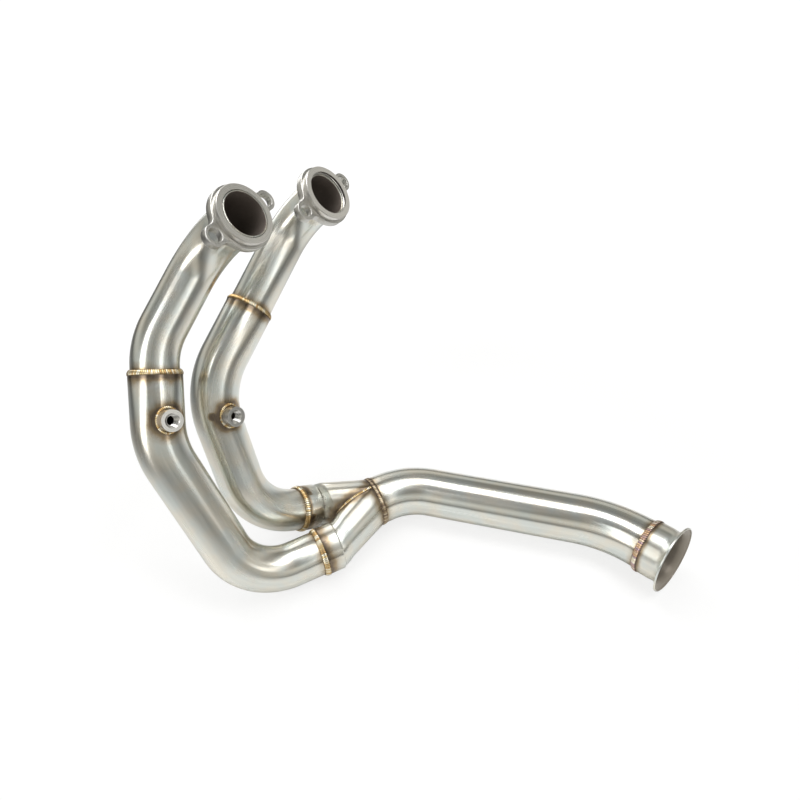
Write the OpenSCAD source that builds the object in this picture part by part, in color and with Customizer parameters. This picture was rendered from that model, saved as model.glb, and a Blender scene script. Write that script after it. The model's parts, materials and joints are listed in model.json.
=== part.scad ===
// Two-into-one stainless exhaust header with a straight-through tail pipe.
// It stands on its collector, its left lower bend and its outlet lip, with both mouths in the air.
// The frame's origin is the middle of the footprint on the floor, +X runs rearward along the tail.

/* [Header tubes] */
// Outer diameter of the two upper tubes, which end in the cylinder head mouths
upper_od = 45; // [38:0.5:50]
// Wall of the upper tubes
upper_wall = 1.5; // [1:0.1:2.5]
// Outer diameter of the two lower tubes, which the upper tubes slip into
lower_od = 50; // [48:0.5:56]
// Wall of the lower tubes
lower_wall = 2; // [1:0.1:2.2]
// Depth that an upper tube slips into a lower one
slip_depth = 8; // [4:1:15]

/* [Cylinder head mouths] */
// Middle of the left mouth
left_mouth = [-187.2, -3.8, 382.8]; // [-400:0.1:400]
// Distance between the middles of the two mouths
mouth_pitch = 119; // [110:1:140]
// Angle of the mouths' axis above the floor
mouth_rake = 36.5; // [20:0.5:50]
// Angle that the line through both mouths drops toward the right one
mouth_bank = 8.5; // [0:0.5:15]
// Distance from the left mouth to its tube's first bend point
left_stub = 73; // [60:1:90]
// Distance from the right mouth to its tube's first bend point
right_stub = 57; // [57:1:75]
// Depth of the right tube's end below the face of its collar
right_recess = 5; // [0:1:6]

/* [Bend points of the headers] */
// Second bend point of the left header
left_bend_2 = [-252.2, -89.3, 270.3]; // [-400:0.1:400]
// Third bend point of the left header
left_bend_3 = [-222.7, -137.8, 190.3]; // [-400:0.1:400]
// Second bend point of the right header
right_bend_2 = [-231.7, -58.3, 203.8]; // [-400:0.1:400]
// Centre line radii of the left header's four bends
left_radii = [60, 83, 90, 63]; // [50:1:120]
// Centre line radii of the right header's three bends
right_radii = [58, 92, 78]; // [50:1:120]
// Distance from the left header's second bend point to its slip joint
left_joint = 28; // [24:1:60]
// Distance from the right header's first bend point to its slip joint
right_joint = 119; // [60:1:150]

/* [Collector] */
// Middle of the collector's outlet
outlet_middle = [-77.7, 18.2, 33.3]; // [-400:0.1:400]
// Direction of the collector's axis, turned from +X toward +Y
collector_turn = 56.5; // [40:0.5:70]
// Climb of the collector's axis toward its outlet
collector_climb = 2; // [-5:0.5:8]
// Roll of the collector about its own axis
collector_roll = 2.5; // [-5:0.5:8]
// Length of the collector along its axis
collector_l = 84; // [70:1:110]
// Distance between the middles of the two inlets
inlet_pitch = 70; // [68:1:74]
// Angle between the left inlet and the collector's axis
left_inlet_turn = -1; // [-2:0.5:1]
// Angle between the right inlet and the collector's axis
right_inlet_turn = -4.5; // [-6:0.5:-2]
// Dip of the right inlet
right_inlet_dip = 24; // [20:1:26]
// Distance from the left inlet back to the last bend point of the left header
left_run_in = 85; // [80:1:100]
// Distance from the right inlet back to the last bend point of the right header
right_run_in = 60; // [60:1:80]
// Length of the round sleeves that take the lower tubes
sleeve_l = 18; // [14:1:24]
// Depth that a lower tube goes into its sleeve
sleeve_depth = 12; // [8:1:16]
// Wall of the collector
collector_wall = 2; // [1.5:0.1:2.5]

/* [Tail pipe] */
// Outer diameter of the tail pipe
tail_od = 58.5; // [54:0.5:63]
// Wall of the tail pipe
tail_wall = 1.5; // [1:0.1:2.5]
// Distance from the collector's outlet to the tail pipe's first bend point
tail_lead = 46; // [35:1:60]
// Second bend point of the tail pipe
tail_bend_2 = [186.8, 117.2, 35.3]; // [-400:0.1:400]
// Middle of the outlet lip
lip_middle = [259.8, 91.2, 43.8]; // [-400:0.1:400]
// Centre line radii of the tail pipe's two bends
tail_radii = [81, 128]; // [60:1:140]

/* [Collars and flange plates] */
// Outer diameter of the collars
collar_od = 58; // [56:0.5:64]
// Thickness of the collars
collar_t = 8; // [6:0.5:10]
// Gap between a collar and its flange plate
plate_gap = 2.3; // [1.5:0.1:4]
// Thickness of the flange plates
plate_t = 8; // [6:0.5:10]
// Diameter of the round middle of the flange plates
plate_d = 67; // [64:1:72]
// Running clearance between a plate and its tube, on the radius
plate_clear = 0.3; // [0.2:0.05:1]
// Distance between the two stud holes of a plate
stud_pitch = 77; // [76:1:84]
// Diameter of the stud holes
stud_hole = 13; // [8:0.5:14]
// Radius of the ears round the stud holes
ear_r = 13; // [10:0.5:14]
// Turn of the plates' ears from the level, about the mouths' axis
ear_turn = 6; // [-30:1:30]

/* [Sensor bosses] */
// Outer diameter of the oxygen sensor bosses
boss_od = 21; // [18:0.5:24]
// Height of the bosses above the tube
boss_h = 11; // [8:0.5:14]
// Diameter of the bosses' threaded bore
boss_bore = 11; // [9:0.5:14]
// Chamfer at the mouth of that bore
boss_chamfer = 1.5; // [0:0.1:2]
// Distance from the left header's second bend point to its boss
left_boss_at = 71; // [60:1:74]
// Direction of the left boss: turn from +X toward +Y, and climb
left_boss_aim = [-13, 25]; // [-90:1:90]
// Turn along the right header's second bend to its boss
right_boss_turn = 40; // [10:1:45]
// Direction of the right boss: turn from +X toward +Y, and climb
right_boss_aim = [-8, 17]; // [-90:1:90]

/* [Outlet flare] */
// Outer diameter of the outlet lip
lip_od = 79; // [74:1:84]
// Length of the flare from its sleeve's rim to the lip
flare_l = 28; // [24:1:34]
// Wall of the flare
flare_wall = 2; // [1.5:0.1:2.5]
// Depth that the tail pipe goes into the flare
flare_depth = 11; // [6:1:12]

/* [Welds] */
// Height of the weld beads above the metal they join
bead_h = 1.6; // [1:0.1:2.5]
// Length of the fillet beads along the tube
bead_l = 6; // [4:0.5:8]

/* [Hidden] */
$fn = 96;

steel = "silver";
straw = "goldenrod";
upper_r = upper_od / 2;
lower_r = lower_od / 2;
tail_r = tail_od / 2;
sleeve_out = lower_r + 0.1 + collector_wall;
flare_in = tail_r + 0.1;
flare_out = flare_in + flare_wall;
lap = 1;
hair = 0.1;

function unit(v) = v / norm(v);
function aim(turn, climb) = [cos(climb) * cos(turn), cos(climb) * sin(turn), sin(climb)];
// Part of v that is square to the unit vector t, as a unit vector
function square_to(v, t) = unit(v - t * (v * t));

// A bent tube's route is a list of bend points with a radius at each one between its ends
function leg(pts, i) = unit(pts[i + 1] - pts[i]);
function turn_at(pts, i) = acos(leg(pts, i - 1) * leg(pts, i));
function setback(pts, radii, i) =
    (i == 0 || i == len(pts) - 1) ? 0 : radii[i - 1] * tan(turn_at(pts, i) / 2);
// Direction from the start of bend i to its centre
function inward(pts, i) = square_to(leg(pts, i), leg(pts, i - 1));
// Point and direction of the route after it has turned by a in bend i
function bend_centre(pts, radii, i) =
    pts[i] - leg(pts, i - 1) * setback(pts, radii, i) + inward(pts, i) * radii[i - 1];
function on_bend(pts, radii, i, a) = bend_centre(pts, radii, i)
    + radii[i - 1] * (sin(a) * leg(pts, i - 1) - cos(a) * inward(pts, i));
function heading(pts, i, a) = cos(a) * leg(pts, i - 1) + sin(a) * inward(pts, i);

// Routes of the two headers and the tail pipe
mouth_axis = aim(0, mouth_rake);
mouth_up = cross(mouth_axis, [0, 1, 0]);
right_mouth = left_mouth + mouth_pitch * (cos(mouth_bank) * [0, 1, 0] - sin(mouth_bank) * mouth_up);
collector_axis = aim(collector_turn, collector_climb);
level_side = unit(cross([0, 0, 1], collector_axis));
collector_side = cos(collector_roll) * level_side
    + sin(collector_roll) * cross(collector_axis, level_side);
collector_up = cross(collector_axis, collector_side);
// The collector has a frame of its own: the outlet's middle, X to the right leg, Z out of the outlet
inlet_at = [for (side = [-1, 1]) [side * inlet_pitch / 2, 0, -collector_l]];
inlet_way = [
    [sin(left_inlet_turn), 0, cos(left_inlet_turn)],
    [-sin(right_inlet_turn) * cos(right_inlet_dip), -sin(right_inlet_dip), cos(right_inlet_turn) * cos(right_inlet_dip)]
];
function from_collector(v) = collector_side * v.x + collector_up * v.y + collector_axis * v.z;
left_inlet = outlet_middle + from_collector(inlet_at[0]);
right_inlet = outlet_middle + from_collector(inlet_at[1]);
left_inlet_axis = from_collector(inlet_way[0]);
right_inlet_axis = from_collector(inlet_way[1]);
left_route = [
    left_mouth, left_mouth - mouth_axis * left_stub, left_bend_2, left_bend_3,
    left_inlet - left_inlet_axis * left_run_in, left_inlet
];
right_route = [
    right_mouth, right_mouth - mouth_axis * right_stub, right_bend_2,
    right_inlet - right_inlet_axis * right_run_in, right_inlet
];
tail_route = [outlet_middle, outlet_middle + collector_axis * tail_lead, tail_bend_2, lip_middle];
tail_end_axis = leg(tail_route, 2);

// Each header is two tubes with a slip joint between them
left_split = left_bend_2 + leg(left_route, 2) * left_joint;
right_split = right_route[1] + leg(right_route, 1) * right_joint;
left_upper_route = [left_route[0], left_route[1], left_bend_2, left_split + leg(left_route, 2) * slip_depth];
left_lower_route = [left_split, left_bend_3, left_route[4], left_inlet + left_inlet_axis * sleeve_depth];
right_upper_route = [
    right_mouth - mouth_axis * right_recess, right_route[1], right_split + leg(right_route, 1) * slip_depth
];
right_lower_route = [right_split, right_bend_2, right_route[3], right_inlet + right_inlet_axis * sleeve_depth];
tail_pipe_route = [
    outlet_middle, tail_route[1], tail_bend_2, lip_middle - tail_end_axis * (flare_l - flare_depth)
];

// Sensor bosses
left_boss_foot = left_bend_2 + leg(left_route, 2) * left_boss_at;
left_boss_axis = square_to(aim(left_boss_aim.x, left_boss_aim.y), leg(left_route, 2));
right_boss_foot = on_bend(right_route, right_radii, 2, right_boss_turn);
right_boss_axis = square_to(
    aim(right_boss_aim.x, right_boss_aim.y), heading(right_route, 2, right_boss_turn)
);

// Children are moved to p, with their +Z along z and their +X as near to x as it gets
module place(p, z, x = [0.36, 0.48, 0.8]) {
    zz = unit(z);
    xx = square_to(x, zz);
    yy = cross(zz, xx);
    multmatrix([
        [xx.x, yy.x, zz.x, p.x],
        [xx.y, yy.y, zz.y, p.y],
        [xx.z, yy.z, zz.z, p.z],
        [0, 0, 0, 1]
    ]) children();
}

// A solid round bar along a route. Its straights run a little way into its bends, which are
// thicker by a hair, so that no two of its surfaces only touch along a line.
module bar(pts, radii, r) {
    last = len(pts) - 1;
    for (i = [0 : last - 1]) {
        from = pts[i] + leg(pts, i) * (i == 0 ? 0 : setback(pts, radii, i) - lap);
        to = pts[i + 1] - leg(pts, i) * (i == last - 1 ? 0 : setback(pts, radii, i + 1) - lap);
        place(from, to - from) cylinder(h = norm(to - from), r = r);
    }
    for (i = [1 : 1 : last - 1]) {
        place(bend_centre(pts, radii, i), cross(-inward(pts, i), leg(pts, i - 1)), -inward(pts, i))
            rotate_extrude(angle = turn_at(pts, i))
                translate([radii[i - 1], 0]) circle(r = r + hair);
    }
}

// A route made longer by d at both ends, so that a cut goes right through
function longer(pts, d) = [
    for (i = [0 : len(pts) - 1])
        i == 0 ? pts[0] - leg(pts, 0) * d
        : i == len(pts) - 1 ? pts[i] + leg(pts, i - 1) * d
        : pts[i]
];

module bent_tube(pts, radii, r, wall) {
    difference() {
        bar(pts, radii, r);
        bar(longer(pts, 1), radii, r - wall);
    }
}

// Points of a bead's rounded face, from a to b, that bulges out by h
function bead_face(a, b, h, n = 8) = let (side = unit([a.y - b.y, b.x - a.x])) [
    for (i = [0 : n]) a + (b - a) * i / n + side * h * sin(180 * i / n)
];

// A fillet bead on a tube of radius r, against the rim of a sleeve of radius big, at local z = 0
module fillet_bead(r, big, l = bead_l, h = bead_h) {
    rotate_extrude() polygon(concat([[r, 0]], bead_face([big, 0], [r, -l], h * 0.6)));
}

// The bore of a boss through the tube wall under it
module boss_hole(foot, axis, r) {
    place(foot, axis) cylinder(h = r + boss_h + 1, d = boss_bore);
}

module left_upper_tube() {
    color(steel) bent_tube(left_upper_route, [left_radii[0], left_radii[1]], upper_r, upper_wall);
}

module right_upper_tube() {
    color(steel) bent_tube(right_upper_route, [right_radii[0]], upper_r, upper_wall);
}

module left_lower_tube() {
    color(steel) difference() {
        bent_tube(left_lower_route, [left_radii[2], left_radii[3]], lower_r, lower_wall);
        boss_hole(left_boss_foot, left_boss_axis, lower_r);
    }
}

module right_lower_tube() {
    color(steel) difference() {
        bent_tube(right_lower_route, [right_radii[1], right_radii[2]], lower_r, lower_wall);
        boss_hole(right_boss_foot, right_boss_axis, lower_r);
    }
}

module tail_pipe() {
    color(steel) bent_tube(tail_pipe_route, tail_radii, tail_r, tail_wall);
}

// A turned collar round the tube's end, with both outer edges chamfered, its face at z = 0
module collar() {
    edge = 1;
    rotate_extrude() polygon([
        [upper_r, 0], [collar_od / 2 - edge, 0], [collar_od / 2, -edge],
        [collar_od / 2, edge - collar_t], [collar_od / 2 - edge, -collar_t], [upper_r, -collar_t]
    ]);
}

module left_collar() {
    color(steel) place(left_mouth, mouth_axis) collar();
}

module right_collar() {
    color(steel) place(right_mouth, mouth_axis) collar();
}

// The fillet that holds a collar to its tube, behind the collar
module collar_weld(mouth) {
    side = plate_gap - 0.3;
    place(mouth - mouth_axis * collar_t, mouth_axis)
        rotate_extrude() polygon([[upper_r, 0], [upper_r + side, 0], [upper_r, -side]]);
}

module left_collar_weld() {
    color(straw) collar_weld(left_mouth);
}

module right_collar_weld() {
    color(straw) collar_weld(right_mouth);
}

// A loose plate with two ears, which draws the collar to the cylinder head
module flange_plate(mouth) {
    place(mouth - mouth_axis * (collar_t + plate_gap + plate_t), mouth_axis, [0, 1, 0])
        rotate([0, 0, ear_turn]) difference() {
            linear_extrude(plate_t) {
                circle(d = plate_d);
                square([stud_pitch, 2 * ear_r], center = true);
                for (side = [-1, 1]) translate([side * stud_pitch / 2, 0]) circle(r = ear_r);
            }
            translate([0, 0, -1]) cylinder(h = plate_t + 2, r = upper_r + plate_clear);
            for (side = [-1, 1]) translate([side * stud_pitch / 2, 0, -1])
                cylinder(h = plate_t + 2, d = stud_hole);
        }
}

module left_flange_plate() {
    color(steel) flange_plate(left_mouth);
}

module right_flange_plate() {
    color(steel) flange_plate(right_mouth);
}

module left_joint_weld() {
    color(straw) place(left_split, leg(left_route, 2)) fillet_bead(upper_r, lower_r);
}

module right_joint_weld() {
    color(straw) place(right_split, leg(right_route, 1)) fillet_bead(upper_r, lower_r);
}

// A boss whose foot is cut to the tube's round
module sensor_boss(foot, axis) {
    difference() {
        place(foot, axis) difference() {
            cylinder(h = lower_r + boss_h, d = boss_od);
            translate([0, 0, -1]) cylinder(h = lower_r + boss_h + 2, d = boss_bore);
            translate([0, 0, lower_r + boss_h - boss_chamfer])
                cylinder(h = boss_chamfer, d1 = boss_bore, d2 = boss_bore + 2 * boss_chamfer);
        }
        children();
    }
}

// The bead round a boss's foot, between two sizes of the tube's own bar
module boss_weld(foot, axis) {
    width = 3.5;
    difference() {
        place(foot, axis) difference() {
            translate([0, 0, lower_r - 8])
                cylinder(h = 8 + bead_h + 1, r1 = boss_od / 2 + width + 1, r2 = boss_od / 2 + 0.4);
            translate([0, 0, lower_r - 10]) cylinder(h = 20, d = boss_od);
        }
        children();
    }
}

module left_lower_bar() {
    bar(left_lower_route, [left_radii[2], left_radii[3]], lower_r);
}

module right_lower_bar() {
    bar(right_lower_route, [right_radii[1], right_radii[2]], lower_r);
}

module left_sensor_boss() {
    color(steel) sensor_boss(left_boss_foot, left_boss_axis) left_lower_bar();
}

module right_sensor_boss() {
    color(steel) sensor_boss(right_boss_foot, right_boss_axis) right_lower_bar();
}

module left_boss_weld() {
    color(straw) boss_weld(left_boss_foot, left_boss_axis) left_lower_bar();
}

module right_boss_weld() {
    color(straw) boss_weld(right_boss_foot, right_boss_axis) right_lower_bar();
}

// The collector's legs are rings of points in the collector's own frame, from a sleeve's rim to the
// outlet. Behind its sleeve a leg swings round by the share `meeting` of its length. From there the
// legs are straight, close in on the axis and widen evenly, and mirror each other.
around = 48;
neck_r = lower_r + 0.2;
leg_l = collector_l - sleeve_l;
meeting = 0.26;
stations = concat([for (k = [1 : 3]) meeting * k / 3], [1]);
// Share of the sleeve's own direction and place that is left at t along the leg
function own(t) = max(0, 1 - t / meeting);
function leg_r(t) = neck_r + (tail_r - neck_r) * t;
function leg_line(i, t) = [inlet_at[i].x, 0, -leg_l] * (1 - t);
function ring(middle, way, r) = let (p = square_to([1, 0, 0], way), q = cross(way, p))
    [for (j = [0 : around - 1]) let (b = 360 * (j + 0.5) / around) middle + r * (cos(b) * p + sin(b) * q)];
function leg_ring(i, t, r) = let (swing = inlet_at[i] + inlet_way[i] * sleeve_l - leg_line(i, 0))
    ring(leg_line(i, t) + swing * own(t), unit(inlet_way[i] * own(t) + [0, 0, 1] * (1 - own(t))), r);

// A closed skin over a list of rings with the same number of points
module skin(rings) {
    n = len(rings[0]);
    m = len(rings);
    polyhedron(
        points = [for (ring = rings) each ring],
        faces = concat(
            [[for (j = [0 : n - 1]) j]],
            [for (i = [0 : m - 2]) for (j = [0 : n - 1]) let (k = (j + 1) % n)
                each [[i * n + j, (i + 1) * n + j, (i + 1) * n + k], [i * n + j, (i + 1) * n + k, i * n + k]]],
            [[for (j = [n - 1 : -1 : 0]) (m - 1) * n + j]]
        )
    );
}

// The outside of sleeve and leg 0 or 1, or with less their inside, which runs past both ends
module collector_leg(i, less = 0) {
    past = less > 0 ? 1.5 : 0;
    rim = ring(inlet_at[i] - inlet_way[i] * past, inlet_way[i], sleeve_out - less);
    sleeve_end = leg_ring(i, 0, sleeve_out - less);
    rings = [for (t = stations) leg_ring(i, t, leg_r(t) - less)];
    end = [for (p = rings[len(rings) - 1]) p + [0, 0, past]];
    skin(concat([rim, sleeve_end], rings, past > 0 ? [end] : []));
}

// One pressed half: a round sleeve and the leg behind it, cut off at the middle of the collector
module collector_half(i) {
    // A block that holds the whole of one leg on its own side of the middle
    block = [90, 120, 120];
    place(outlet_middle, collector_axis, collector_side) resize([0, 0, 0]) difference() {
        intersection() {
            collector_leg(i);
            translate([i == 0 ? -block.x : 0, -block.y / 2, 10 - block.z]) cube(block);
        }
        collector_leg(i, collector_wall);
    }
}

module left_collector_half() {
    color(steel) collector_half(0);
}

module right_collector_half() {
    color(steel) collector_half(1);
}

module left_inlet_weld() {
    color(straw) place(left_inlet, left_inlet_axis) fillet_bead(lower_r, sleeve_out);
}

module right_inlet_weld() {
    color(straw) place(right_inlet, right_inlet_axis) fillet_bead(lower_r, sleeve_out);
}

// The bead along the line where the two halves meet
module merge_seam_weld() {
    bead_r = 2.6;
    closing = inlet_pitch / 2 / leg_l;
    widening = (tail_r - neck_r) / leg_l;
    // Middle of the bead at the angle a round the meeting line, from the outlet's top to its foot
    function seam(a) = let (x = cos(a) * tail_r / (closing + widening * cos(a)))
        [0, (tail_r - widening * x) * sin(a), -x];
    steps = [for (a = [84 : -6 : -84]) a];
    rings = [for (a = steps) let (
        n = unit(seam(a - 1) - seam(a + 1)),
        q = cross(n, [1, 0, 0])
    ) [for (j = [0 : 11]) seam(a) + bead_r * (cos(30 * j) * [1, 0, 0] + sin(30 * j) * q)]];
    color(straw) place(outlet_middle, collector_axis, collector_side) difference() {
        skin(rings);
        collector_leg(0);
        collector_leg(1);
    }
}

// The bead round the collector's outlet
module collector_outlet_weld() {
    color(straw) place(outlet_middle, collector_axis)
        rotate_extrude() polygon(bead_face([tail_r, 0], [tail_r, 4.5], -bead_h));
}

module flare_weld() {
    color(straw) place(lip_middle - tail_end_axis * flare_l, tail_end_axis) fillet_bead(tail_r, flare_out);
}

// A spun sleeve that necks in and then opens to the lip, drawn back from the lip at z = 0
module outlet_flare() {
    neck = tail_r - 0.5;
    // How far the neck's two ends and the foot of the lip's edge lie behind the lip
    neck_start = 9;
    neck_end = 7.5;
    lip_edge = 1.5;
    outer = [
        [flare_out, -flare_l], [flare_out, -flare_l + flare_depth + 3], [neck + flare_wall, -neck_start],
        [neck + flare_wall, -neck_end], [lip_od / 2, -lip_edge], [lip_od / 2, 0]
    ];
    inner = [
        [lip_od / 2 - 1.6, 0], [neck, 0.7 - neck_end],
        [neck, -flare_l + flare_depth], [flare_in, -flare_l + flare_depth], [flare_in, -flare_l]
    ];
    color(steel) place(lip_middle, tail_end_axis) rotate_extrude() polygon(concat(outer, inner));
}

left_upper_tube();
left_lower_tube();
right_upper_tube();
right_lower_tube();
left_collar();
right_collar();
left_collar_weld();
right_collar_weld();
left_flange_plate();
right_flange_plate();
left_joint_weld();
right_joint_weld();
left_sensor_boss();
right_sensor_boss();
left_boss_weld();
right_boss_weld();
left_collector_half();
right_collector_half();
merge_seam_weld();
left_inlet_weld();
right_inlet_weld();
collector_outlet_weld();
tail_pipe();
flare_weld();
outlet_flare();
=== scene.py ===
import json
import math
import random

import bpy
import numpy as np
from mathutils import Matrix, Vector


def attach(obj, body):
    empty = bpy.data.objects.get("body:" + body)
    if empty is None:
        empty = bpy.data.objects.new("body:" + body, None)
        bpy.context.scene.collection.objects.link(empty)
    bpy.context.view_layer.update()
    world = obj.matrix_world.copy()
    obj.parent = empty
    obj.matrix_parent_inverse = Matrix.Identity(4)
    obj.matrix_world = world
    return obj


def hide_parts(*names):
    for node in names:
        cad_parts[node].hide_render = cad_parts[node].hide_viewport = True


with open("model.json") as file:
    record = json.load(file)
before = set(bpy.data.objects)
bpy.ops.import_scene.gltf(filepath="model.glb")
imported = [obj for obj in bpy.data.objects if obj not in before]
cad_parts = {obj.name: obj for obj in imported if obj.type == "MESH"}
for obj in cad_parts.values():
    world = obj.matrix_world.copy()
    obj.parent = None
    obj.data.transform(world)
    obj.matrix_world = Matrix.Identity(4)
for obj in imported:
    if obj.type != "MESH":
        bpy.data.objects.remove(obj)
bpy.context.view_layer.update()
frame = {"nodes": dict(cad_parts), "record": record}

# %% [markdown]
# # A two-into-one exhaust header
# The object is a welded stainless header: two bent tubes come down from the cylinder head, slip
# into wider tubes, meet in a collector and run on as one tail pipe with a flared outlet.
# The construction is already here as a frame of solids at their real places and sizes.
# This lesson dresses it: tubes with satin brushing that follows their bends, heat tint beside
# every joint, weld beads made of real ripples, threads in the sensor bosses, and a photo studio.

mm = 0.001
nodes = frame["nodes"]
mounts = {m["name"]: m for m in frame["record"]["mounts"]}
header = "header"
both = ("left", "right")
up = Vector((0, 0, 1))
random.seed(7)

# %% [markdown]
# ## The routes
# A bent tube is bought straight and bent on a mandrel, so its centre line is straight runs with
# round bends between them. A route here is a list of bend points with a radius at each. The ends
# come from the frame's own mounts, so that the tubes sit exactly where the collars and the flare
# are, and the bend points repeat the construction's driving sizes.

# %% Ends of the tubes
def at(x, y, z):
    return Vector((x, y, z)) * mm


def direction(turn, climb):
    t, c = math.radians(turn), math.radians(climb)
    return Vector((math.cos(c) * math.cos(t), math.cos(c) * math.sin(t), math.sin(c)))


def mount_place(name):
    return Vector(mounts[name]["pos_m"])


def mount_way(name):
    return Vector(mounts[name]["axis"]).normalized()


def rounded(vector):
    return [round(float(v), 4) for v in vector]


face_to_plate = 10.3 * mm  # from a plate mount, at the solid plate's front, to the tube's mouth
lip_to_mount = 11.9 * mm  # from the outlet's mount rearward to the lip
mouth_way = mount_way("left_head_studs")
left_mouth = mount_place("left_head_studs") + mouth_way * face_to_plate
right_mouth = mount_place("right_head_studs") + mouth_way * face_to_plate
outlet_way = mount_way("outlet")
lip_middle = mount_place("outlet") + outlet_way * lip_to_mount
print("mouths at", rounded(left_mouth), rounded(right_mouth))

# %% The collector's own frame
outlet_middle = at(-77.7, 18.2, 33.3)
collector_way = direction(56.5, 2)
collector_roll = math.radians(2.5)
collector_length = 84 * mm
inlet_pitch = 70 * mm
level_side = up.cross(collector_way).normalized()
collector_side = (math.cos(collector_roll) * level_side
                  + math.sin(collector_roll) * collector_way.cross(level_side))
collector_up = collector_way.cross(collector_side)


def from_collector(x, y, z):
    return collector_side * x + collector_up * y + collector_way * z


left_inlet = outlet_middle + from_collector(-inlet_pitch / 2, 0, -collector_length)
right_inlet = outlet_middle + from_collector(inlet_pitch / 2, 0, -collector_length)
left_turn, right_turn, right_dip = math.radians(-1), math.radians(-4.5), math.radians(24)
left_inlet_way = from_collector(math.sin(left_turn), 0, math.cos(left_turn))
right_inlet_way = from_collector(-math.sin(right_turn) * math.cos(right_dip),
                                 -math.sin(right_dip),
                                 math.cos(right_turn) * math.cos(right_dip))
print("inlets at", rounded(left_inlet), rounded(right_inlet))

# %% Bend points and radii
# A bend point next to an end lies at a measured length from it, along that end's direction.
left_bend_1 = left_mouth - mouth_way * 73 * mm
left_bend_2 = at(-252.2, -89.3, 270.3)
left_bend_3 = at(-222.7, -137.8, 190.3)
left_bend_4 = left_inlet - left_inlet_way * 85 * mm
right_bend_1 = right_mouth - mouth_way * 57 * mm
right_bend_2 = at(-231.7, -58.3, 203.8)
right_bend_3 = right_inlet - right_inlet_way * 60 * mm
tail_bend_1 = outlet_middle + collector_way * 46 * mm
tail_bend_2 = at(186.8, 117.2, 35.3)
left_fall = (left_bend_3 - left_bend_2).normalized()
right_fall = (right_bend_2 - right_bend_1).normalized()
left_joint = left_bend_2 + left_fall * 28 * mm
right_joint = right_bend_1 + right_fall * 119 * mm
slip, sleeve_depth = 8 * mm, 12 * mm
flare_length, flare_depth = 28 * mm, 11 * mm
right_recess = 5 * mm

# Bend points in place, and the radius of each bend in millimetres.
routes = {
    "left_upper_tube": ([left_mouth, left_bend_1, left_bend_2, left_joint + left_fall * slip],
                        [60, 83]),
    "left_lower_tube": ([left_joint, left_bend_3, left_bend_4,
                         left_inlet + left_inlet_way * sleeve_depth], [90, 63]),
    "right_upper_tube": ([right_mouth - mouth_way * right_recess, right_bend_1,
                          right_joint + right_fall * slip], [58]),
    "right_lower_tube": ([right_joint, right_bend_2, right_bend_3,
                          right_inlet + right_inlet_way * sleeve_depth], [92, 78]),
    "tail_pipe": ([outlet_middle, tail_bend_1, tail_bend_2,
                   lip_middle - outlet_way * (flare_length - flare_depth)], [81, 128]),
}

# Outer diameter and wall of each tube in millimetres.
upper_size, lower_size, tail_size = (45, 1.5), (50, 2), (58.5, 1.5)
tube_sizes = {"left_upper_tube": upper_size, "right_upper_tube": upper_size,
              "left_lower_tube": lower_size, "right_lower_tube": lower_size,
              "tail_pipe": tail_size}
upper_r, lower_r, tail_r = (size[0] / 2 * mm for size in (upper_size, lower_size, tail_size))
print("routes:", {name: len(points) for name, (points, radii) in routes.items()})

# %% [markdown]
# ## Tubes that know where they are
# The solids of the tubes are right, but a brushed finish has to run round each tube and the heat
# tint has to lie at a distance along it. So every tube is modelled again on its route, the way a
# bender makes it: a ring of edges is extruded along each straight run and spun round each bend.
# Solidify gives the wall, and a small bevel breaks the cut ends.
# Each point then gets two attributes: `route`, its distance along the tube and its place round it,
# and `way`, the tube's direction there. Each face gets `inside`, which is 1 on the inner wall.

# %% Straight runs and bends of a route
def steps_of(points, radii):
    """("run", vector) and ("bend", centre, axis, angle, radius) one after the other."""
    steps, here = [], points[0]
    for i, radius_mm in enumerate(radii, start=1):
        radius = radius_mm * mm
        a, b = (points[i] - points[i - 1]).normalized(), (points[i + 1] - points[i]).normalized()
        angle = a.angle(b)
        corner = radius * math.tan(angle / 2)
        start = points[i] - a * corner
        inward = (b - a * a.dot(b)).normalized()
        steps.append(("run", start - here))
        steps.append(("bend", start + inward * radius, a.cross(b).normalized(), angle, radius))
        here = points[i] + b * corner
    steps.append(("run", points[-1] - here))
    return steps


def centre_line(points, radii, spacing=1 * mm):
    """Points along the route, with the direction at each."""
    line, ways, here = [], [], points[0]
    for step in steps_of(points, radii):
        if step[0] == "run":
            n = max(2, round(step[1].length / spacing))
            for k in range(n):
                line.append(here + step[1] * k / n)
                ways.append(step[1].normalized())
            here = here + step[1]
        else:
            _, centre, axis, angle, radius = step
            arm, way = here - centre, axis.cross(here - centre).normalized()
            n = max(2, round(angle * radius / spacing))
            for k in range(n):
                turn = Matrix.Rotation(angle * k / n, 3, axis)
                line.append(centre + turn @ arm)
                ways.append(turn @ way)
            here = centre + Matrix.Rotation(angle, 3, axis) @ arm
    line.append(here)
    ways.append(ways[-1])
    return np.array(line), np.array(ways)


# %% Small helpers for modelling
def alone(obj):
    """Nothing but obj is selected and active."""
    bpy.ops.object.select_all(action="DESELECT")
    obj.select_set(True)
    bpy.context.view_layer.objects.active = obj


def settle(obj):
    """Moves the object's place into its mesh."""
    alone(obj)
    bpy.ops.object.transform_apply(location=True, rotation=True, scale=True)


def new_mesh(operator, **values):
    """Adds a mesh with nothing else selected, and settles it."""
    bpy.ops.object.select_all(action="DESELECT")
    operator(**values)
    piece = bpy.context.object
    settle(piece)
    return piece


def start_edit():
    bpy.ops.object.mode_set(mode="EDIT")
    bpy.ops.mesh.select_all(action="SELECT")


def end_edit(merge=False):
    """Merges double points if asked to, turns all faces outward and leaves edit mode."""
    bpy.ops.mesh.select_all(action="SELECT")
    if merge:
        bpy.ops.mesh.remove_doubles(threshold=0.01 * mm)
    bpy.ops.mesh.normals_make_consistent(inside=False)
    bpy.ops.object.mode_set(mode="OBJECT")


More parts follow.
